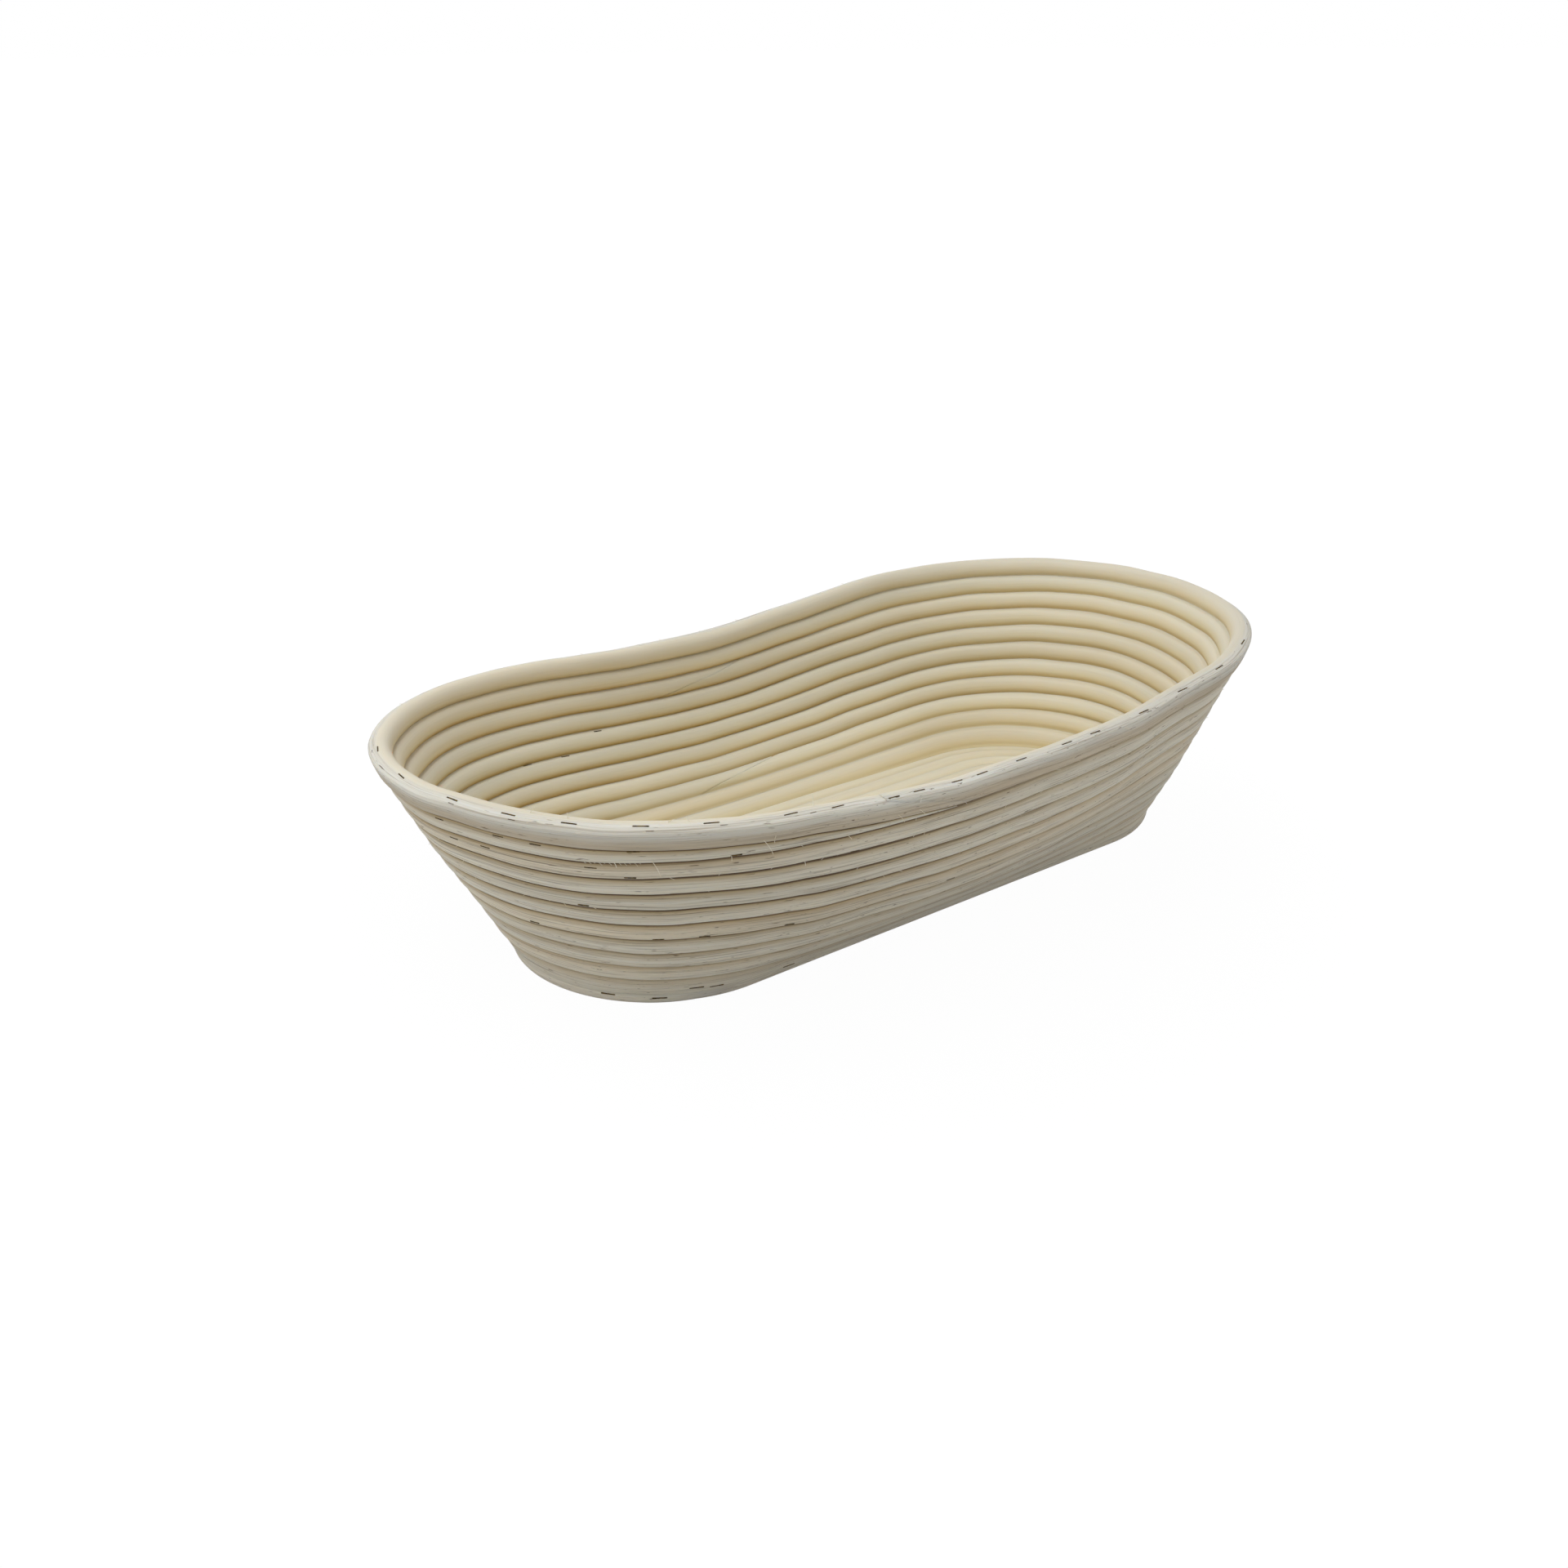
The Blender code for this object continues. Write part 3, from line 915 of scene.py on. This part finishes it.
floor_pieces = cane_pieces("floor", floor_rails, FLOOR_SIZES, RING_STARTS)
wall_pieces = cane_pieces("wall", wall_rails, WALL_SIZES)
rim_piece = cane_piece("rattan_rim", "rim_cane", "rim", rim_stations, RIM_SIZES, ALL_BARE)

# %% [markdown]
# ## Staples
# Wire staples pin each turn to the one below. A staple is a bent wire whose crown lies on the
# cane and whose legs go down into it. They repeat, so a Geometry Nodes tree bends one wire and
# puts a copy on every point of a point cloud, turned by two directions that the points carry.
# Each point is found by looking from outside along a ray until it meets the finished cane.

# %% The staple tree
WIRE_POINTS = 40
WIRE_SIDES = 8


def bent_wire(tree, given):
    """One wire with a straight crown and two legs that go down."""
    reach = sum_of(tree, "ADD", given["Half Crown"], given["Leg"])
    start = vector_from(tree, product(tree, reach, -1.0))
    ends = {"Start": start, "End": vector_from(tree, reach)}
    line = geometry(tree, "GeometryNodeCurvePrimitiveLine", ends)
    line = geometry(tree, "GeometryNodeResampleCurve", {"Curve": line, "Count": WIRE_POINTS})
    run = split(tree, add_node(tree, "GeometryNodeInputPosition").outputs[0])["X"]
    length = sum_of(tree, "ABSOLUTE", run)
    flat = sum_of(tree, "MINIMUM", length, given["Half Crown"])
    flat = product(tree, sum_of(tree, "SIGN", run), flat)
    drop = sum_of(tree, "SUBTRACT", length, given["Half Crown"])
    drop = sum_of(tree, "MAXIMUM", drop, 0.0)
    bent = vector_from(tree, flat, 0.0, product(tree, drop, -1.0))
    line = geometry(tree, "GeometryNodeSetPosition", {"Geometry": line, "Position": bent})
    return sweep(tree, line, circle(tree, WIRE_SIDES, given["Wire"]))


def staple_tree():
    """Bends one wire into a staple and puts a copy on every point."""
    tree, given, result = new_tree("staples", ("Half Crown", "Leg", "Wire"))
    wire = bent_wire(tree, given)
    directions = {0: read(tree, "facing"), 1: read(tree, "along")}
    axes = {"primary_axis": "Z", "secondary_axis": "X"}
    turn = add_node(tree, "FunctionNodeAxesToRotation", directions, **axes).outputs[0]
    placing = {"Points": given["Geometry"], "Instance": wire, "Rotation": turn}
    placing["Scale"] = read(tree, "size")
    copies = geometry(tree, "GeometryNodeInstanceOnPoints", placing)
    end_tree(tree, copies, given["Finish"], result)
    return tree


def stained(name, scale, detail, zone, first, second):
    """A finish with stains of a second colour, its tree, its shader and the stains."""
    made, tree, shader = new_finish(name)
    place = add_node(tree, "ShaderNodeTexCoord").outputs["Object"]
    stain = noise(tree, place, scale, detail)["Fac"]
    colour = blend(tree, step_of(tree, stain, *zone), first, second)
    set_inputs(tree, shader, {"Base Color": colour})
    return made, tree, shader, stain


def wire_finish():
    """Old steel wire, brown with rust."""
    dark = (0.05, 0.034, 0.013, 1)
    rust = (0.17, 0.115, 0.042, 1)
    made, tree, shader, stain = stained("staple_wire", 900.0, 3.0, (0.4, 0.65), dark, rust)
    rough = scaled(tree, stain, 0.3, 0.5)
    set_inputs(tree, shader, {"Roughness": rough, "Specular IOR Level": 0.1})
    return made


staples = staple_tree()
staple_wire = wire_finish()
print("tree", staples.name, "with", len(staples.nodes), "nodes")

# %% [markdown]
# The rim carries a row of staples all the way round. A few more show on the upper turns, in
# the seams between turns, on the first turn above the ring and on the ring itself. Each is
# given by its way along the ring and by where it lies on the section of its cane, with the
# number of its row before them on the wall. The back, which can't be seen, repeats the front.

# %% Places of the staples
RIM_STAPLES = [
    (-186, -0.6), (-171, -0.1), (-155.5, 0.4), (-143.5, 0.6), (-132.5, 0.6), (-120.5, 0.3),
    (-108.5, 0.0), (-94, 0.2), (-81, 0.8), (-59, 1.4), (-48, 1.0), (-31, 0.6), (-20, 0.8),
    (-2, 0.8), (20, 0.8), (34, 1.1), (60, 1.3), (81, 1.3), (97, 0.8), (112, 0.3),
]
RIM_STAPLES += [(130 + 16.5 * i + 3 * math.sin(2.4 * i), 4.0) for i in range(21)]
# Small dark wire marks beside some rim staples stand in for the shade in the slits that the legs
# split: painted shade.
RIM_SLIT_SHADES = [
    (-186.5, 1.3), (-155, 2.0), (-142.5, 2.3), (-119, 2.2), (-106.5, 1.4), (-90, 1.5), (62, 2.4),
]
ROW_STAPLES = [
    (10, -161, 1.9), (10, -147, 1.7), (10, -139.5, 1.3), (10, -122, 1.3), (9, -160.5, 0.9),
    (9, -152, 1.6), (9, -130, 1.3), (5, -20.5, -2.4),
]
SEAM_STAPLES = [
    (9, -123, -2.4), (7, -133.5, -2.3), (5, -148.7, -2.3), (5, -118.5, -3.0), (5, -108, -3.0),
    (5, -87, -3.0), (9, -72, -3.0), (10, -104, -3.0),
]
FOOT_STAPLES = [(1, -108, -2.0), (1, -101.8, -2.6), (1, -74.5, -3.2)]
RING_STAPLES = [(-135, -0.4), (-119, 0.2)]
INNER_MARKS = [(6, -239.5, 3.3), (6, -255, 3.3), (7, -273, 3.1)]
RAY_START = 14
RAY_LENGTH = 0.02
RIM_TOP = 3.9
SET_IN = 0.06


def on_surface(pieces, centre, towards):
    """Where a ray from outside meets the nearest of some pieces, and the surface's direction."""
    towards = towards.normalized()
    start = (centre + towards * RAY_START) * MM
    graph = bpy.context.evaluated_depsgraph_get()
    cast = {"distance": RAY_LENGTH, "depsgraph": graph}
    hits = [piece.ray_cast(start, -towards, **cast) for piece in pieces]
    found = min((hit for hit in hits if hit[0]), key=lambda hit: (hit[1] - start).length)
    return found[1] / MM, found[2]


def rim_place(arc, lean_out):
    """A place on the rim, from its top outwards."""
    centre, rise, out = wall_frame(rim_distance((arc - CLIMB_START) % RING_LENGTH), arc)
    return *on_surface([rim_piece], centre, rise * RIM_TOP + out * lean_out), rise.cross(out)


def row_place(row, arc, height, side=1):
    """A place on the outside of a row, or on its inside where side is -1."""
    centre, rise, out = wall_frame(CORNER_STEP + row * PITCH, arc)
    found = on_surface([*wall_pieces, rim_piece], centre + rise * height, out * side)
    return *found, rise.cross(out)


def ring_place(arc, height):
    """A place on the outside of the bottom ring."""
    centre, out, down = floor_frame(RING_LEVEL, arc)
    return *on_surface(floor_pieces, centre + down * height, out), out.cross(down)


def staple_points(places):
    """A cloud of points for the staple tree; a place is a point, two directions and a size."""
    mesh = bpy.data.meshes.new("places")
    mesh.from_pydata([(point - facing * SET_IN) * MM for point, facing, _, _ in places], [], [])
    for index, name in enumerate(("facing", "along", "size"), 1):
        keep_vectors(mesh, name, [place[index] for place in places])
    return mesh


print("places on the rim", len(RIM_STAPLES) + len(RIM_SLIT_SHADES))

# %% The staples
CROWN = (1, 1, 1)
SLIT_SHADE = (0.5, 0.45, 0.6)
THIN = (0.8, 1.0, 0.8)
# Wider than the wire, so that a staple's mark also covers the shaded gap it pulls open: partly
# painted shade.
WIDE = (0.75, 1.25, 0.9)
ON_ROWS = ((ROW_STAPLES, THIN), (SEAM_STAPLES, WIDE), (FOOT_STAPLES, CROWN))
WIRE_SIZES = {"Half Crown": 2.3 * MM, "Leg": 1.4 * MM, "Wire": 0.25 * MM, "Finish": staple_wire}
bpy.context.view_layer.update()
places = [(*rim_place(*spot), CROWN) for spot in RIM_STAPLES]
places += [(*rim_place(*spot), SLIT_SHADE) for spot in RIM_SLIT_SHADES]
for turned in (0.0, RING_LENGTH / 2):
    for spots, size in ON_ROWS:
        places += [(*row_place(row, arc + turned, height), size) for row, arc, height in spots]
    places += [(*ring_place(arc + turned, height), CROWN) for arc, height in RING_STAPLES]
places += [(*row_place(*spot, -1), WIDE) for spot in INNER_MARKS]
staple_piece = run_tree("wire_staples", staple_points(places), staples, WIRE_SIZES)
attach(staple_piece, "root")
print("staples", len(places), "faces", len(staple_piece.data.polygons))

# %% [markdown]
# ## Loose fibres
# The rough side sheds fibres: a few long ones stand off the upper turns and the rim, and short
# fuzz sits along the lips. Each is a thin thread that follows a curve, so a small tree sweeps
# a round section along chains of points. The long ones have set places, and a fixed seed
# scatters the fuzz.

# %% The fibre tree
THREAD_SIDES = 6


def fibre_tree():
    """Sweeps a thin round thread along every chain of points."""
    tree, given, result = new_tree("loose_fibres", ["Thread"])
    curve = geometry(tree, "GeometryNodeMeshToCurve", {"Mesh": given["Geometry"]})
    thread = sweep(tree, curve, circle(tree, THREAD_SIDES, given["Thread"]))
    smooth = geometry(tree, "GeometryNodeSetShadeSmooth", {"Geometry": thread})
    end_tree(tree, smooth, given["Finish"], result)
    return tree


def fibre_finish():
    """Dry pale fibre, a little yellower in places."""
    pale = (0.86, 0.82, 0.70, 1)
    yellow = (0.78, 0.69, 0.50, 1)
    made, tree, shader, _ = stained("fibre", 300.0, 2.0, (0.35, 0.65), pale, yellow)
    set_inputs(tree, shader, {"Roughness": 0.7})
    return made


fibres = fibre_tree()
pale_fibre = fibre_finish()
print("tree", fibres.name, "with", len(fibres.nodes), "nodes")

# %% [markdown]
# A fibre has a place, a direction (along the cane, up it and off its surface) and a length.

# %% Paths of the fibres
LONG_FIBRES = [
    (row_place(10, -119, -2.2), (0.75, -0.75, 0.5), 5.5),
    (row_place(10, -125.5, -2.8), (0.6, -0.8, 0.4), 2.0),
    (row_place(10, -99.5, 2.0), (0.7, -0.6, 0.5), 5.5),
    (row_place(10, -97, -0.5), (-0.4, 0.8, 0.5), 4.5),
    (row_place(10, -105, -2.6), (0.3, -0.9, 0.4), 2.0),
    (row_place(10, -77.5, -2.4), (0.8, -0.5, 0.4), 2.5),
    (row_place(10, -58, 0.5), (0.8, -0.6, 0.4), 3.5),
    (row_place(10, -49, 0.0), (0.8, -0.5, 0.5), 3.0),
    (row_place(9, -90, -3.0), (0.7, -0.7, 0.5), 2.5),
    (rim_place(-140, -1.5), (0.6, 0.2, 0.8), 2.8),
    (rim_place(-133, -1.2), (-0.3, 0.3, 0.9), 1.8),
    (rim_place(-116, -1.4), (0.9, 0.1, 0.5), 2.4),
    (rim_place(-112, -1.4), (-0.8, 0.3, 0.6), 2.0),
    (rim_place(-88.5, -1.3), (-0.1, 0.2, 1.0), 3.4),
]
EDGE_DIRECTION = (0.8, -0.6, 0.35)
EDGE_FUZZ = [
    (row_place(10, -131 + 0.9 * i, -3.2), EDGE_DIRECTION, 1.2 + 0.5 * math.sin(2.7 * i))
    for i in range(12)
]
FUZZ_COUNT = 150
FUZZ_ROWS = (7, 12)
RIM_ROW = 11
FIBRE_POINTS = 8
FIBRE_ROOT = 0.1
LONG_CURL = 0.25
EDGE_CURL = 0.3
LONG_THREAD = 0.1
FUZZ_THREAD = 0.06
scatter = np.random.default_rng(4)


def fibre_path(place, direction, length, curl):
    """Points of one fibre that starts in the surface and bends as it leaves."""
    point, facing, along = place
    up = facing.cross(along)
    straight = (along * direction[0] + up * direction[1] + facing * direction[2]).normalized()
    aside = straight.cross(facing)
    path = []
    for i in range(FIBRE_POINTS):
        share = i / (FIBRE_POINTS - 1)
        way = (straight * share + aside * curl * share * share) * length
        path.append((point - facing * FIBRE_ROOT + way) * MM)
    return path


def fuzz_path():
    """One short fibre at a random place of the rim or of the upper turns' lower lips."""
    arc = scatter.uniform(0, RING_LENGTH)
    row = int(scatter.integers(*FUZZ_ROWS))
    if row == RIM_ROW:
        place = rim_place(arc, scatter.uniform(1.0, 5.0))
    else:
        place = row_place(row, arc, scatter.uniform(-3.4, -2.0))
    direction = (math.copysign(0.8, scatter.uniform(-1, 1)), scatter.uniform(-0.6, 0.3), 0.35)
    return fibre_path(place, direction, scatter.uniform(0.8, 2.0), scatter.uniform(-0.4, 0.4))


print("fibres with set places", len(LONG_FIBRES) + len(EDGE_FUZZ))


# %% Long fibres and fuzz
def fibre_piece(name, paths, thread):
    """All the fibres of one thickness as one piece."""
    mesh = bpy.data.meshes.new("paths")
    points = [point for path in paths for point in path]
    links = [(i, i + 1) for i in range(len(points) - 1) if (i + 1) % FIBRE_POINTS]
    mesh.from_pydata(points, links, [])
    made = run_tree(name, mesh, fibres, {"Thread": thread * MM, "Finish": pale_fibre})
    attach(made, "root")
    print(name, len(paths), "fibres")


long_paths = [fibre_path(*fibre, LONG_CURL) for fibre in LONG_FIBRES]
fibre_piece("long_fibres", long_paths, LONG_THREAD)
fuzz_paths = [fibre_path(*fibre, EDGE_CURL) for fibre in EDGE_FUZZ]
fuzz_paths += [fuzz_path() for _ in range(FUZZ_COUNT)]
fibre_piece("fuzz", fuzz_paths, FUZZ_THREAD)

# %% [markdown]
# ## Stage, light and camera
# The basket stands on a white ground under soft boxes from above, from the front right and
# from the left. The camera looks from the front left and above, with the focal length that the
# rows' perspective gives.

# %% Camera
FOCAL_PIXELS = 2137.8
IMAGE_WIDTH = 1920
SENSOR = 36.0
AZIMUTH = math.radians(-38.194)
ELEVATION = math.radians(23.082)
ROLL = math.radians(-0.347)
DISTANCE = 670.1
SIDE_SHIFT = 26.44
HEIGHT_SHIFT = -29.75
back = Vector((
    math.sin(AZIMUTH) * math.cos(ELEVATION),
    -math.cos(AZIMUTH) * math.cos(ELEVATION),
    math.sin(ELEVATION),
))
level_right = Vector((math.cos(AZIMUTH), math.sin(AZIMUTH), 0))
level_up = back.cross(level_right)
right = math.cos(ROLL) * level_right + math.sin(ROLL) * level_up
above = math.cos(ROLL) * level_up - math.sin(ROLL) * level_right
lens = bpy.data.cameras.new("camera")
lens.lens = FOCAL_PIXELS / IMAGE_WIDTH * SENSOR
lens.sensor_width = SENSOR
lens.clip_start = 0.01
camera = add_object("camera", lens)
place = BASE + back * DISTANCE - right * SIDE_SHIFT - above * HEIGHT_SHIFT
facing = Matrix((right, above, back)).transposed().to_4x4()
camera.matrix_world = Matrix.Translation(place * MM) @ facing
bpy.context.scene.camera = camera
print("camera at", [round(v, 1) for v in place], "focal length", round(lens.lens, 1))

# %% Ground
GROUND_HALF = 40
GROUND_GLOW = 1.015
SHADOW_REACH = (0.12, 0.28)
SHADOW_SHARE = 0.04


def seen_by_camera(tree):
    """1 for rays from the camera, from gloss and through glass, else 0."""
    path = add_node(tree, "ShaderNodeLightPath").outputs
    seen = sum_of(tree, "MAXIMUM", path["Is Camera Ray"], path["Is Glossy Ray"])
    return sum_of(tree, "MAXIMUM", seen, path["Is Transmission Ray"])


def ground_finish():
    """Pale ground that reads as white and keeps a faint shadow."""
    made, tree, shader = new_finish("ground")
    set_inputs(tree, shader, {"Base Color": (0.55, 0.55, 0.54, 1), "Roughness": 0.9})
    glow = {"Color": (1, 1, 1, 1), "Strength": GROUND_GLOW}
    white = add_node(tree, "ShaderNodeEmission", glow).outputs[0]
    place = add_node(tree, "ShaderNodeTexCoord").outputs["Object"]
    away = add_node(tree, "ShaderNodeVectorMath", {0: place}, operation="LENGTH").outputs["Value"]
    away = step_of(tree, away, *SHADOW_REACH)
    share = scaled(tree, away, SHADOW_SHARE, 1 - SHADOW_SHARE)
    share = product(tree, seen_by_camera(tree), share)
    mixed = add_node(tree, "ShaderNodeMixShader", {0: share, 1: shader.outputs[0], 2: white})
    set_inputs(tree, tree.nodes["Material Output"], {"Surface": mixed.outputs[0]})
    return made


corners = [(x * GROUND_HALF, y * GROUND_HALF, 0) for x, y in ((-1, -1), (1, -1), (1, 1), (-1, 1))]
ground_mesh = bpy.data.meshes.new("ground")
ground_mesh.from_pydata(corners, [], [(0, 1, 2, 3)])
ground_mesh.materials.append(ground_finish())
ground = add_object("ground", ground_mesh)
print("ground", 2 * GROUND_HALF, "m wide")

# %% Light
SKY = 0.54
TARGET = Vector((0, 0, 0.04))
LIGHTS = (
    ("key", 12.0, 1.2, (-0.7, 0.2, 1.5)),
    ("fill", 1.6, 1.0, (0.9, -1.1, 0.5)),
    ("side", 2.0, 1.0, (-1.35, 0.3, 0.5)),
)


def soft_light(name, power, size, place):
    """A square soft box that faces the basket."""
    data = bpy.data.lights.new(name, "AREA")
    data.energy = power
    data.size = size
    made = add_object(name, data)
    made.location = place
    made.rotation_mode = "QUATERNION"
    made.rotation_quaternion = (TARGET - Vector(place)).to_track_quat("-Z", "Y")


world = bpy.data.worlds.new("studio")
bpy.context.scene.world = world
world.use_nodes = True
tree = world.node_tree
strength = scaled(tree, seen_by_camera(tree), 1 - SKY, SKY)
set_inputs(tree, tree.nodes["Background"], {"Color": (1, 1, 1, 1), "Strength": strength})
for light in LIGHTS:
    soft_light(*light)
bpy.context.scene.view_settings.view_transform = "Standard"
print("soft boxes", len(LIGHTS))
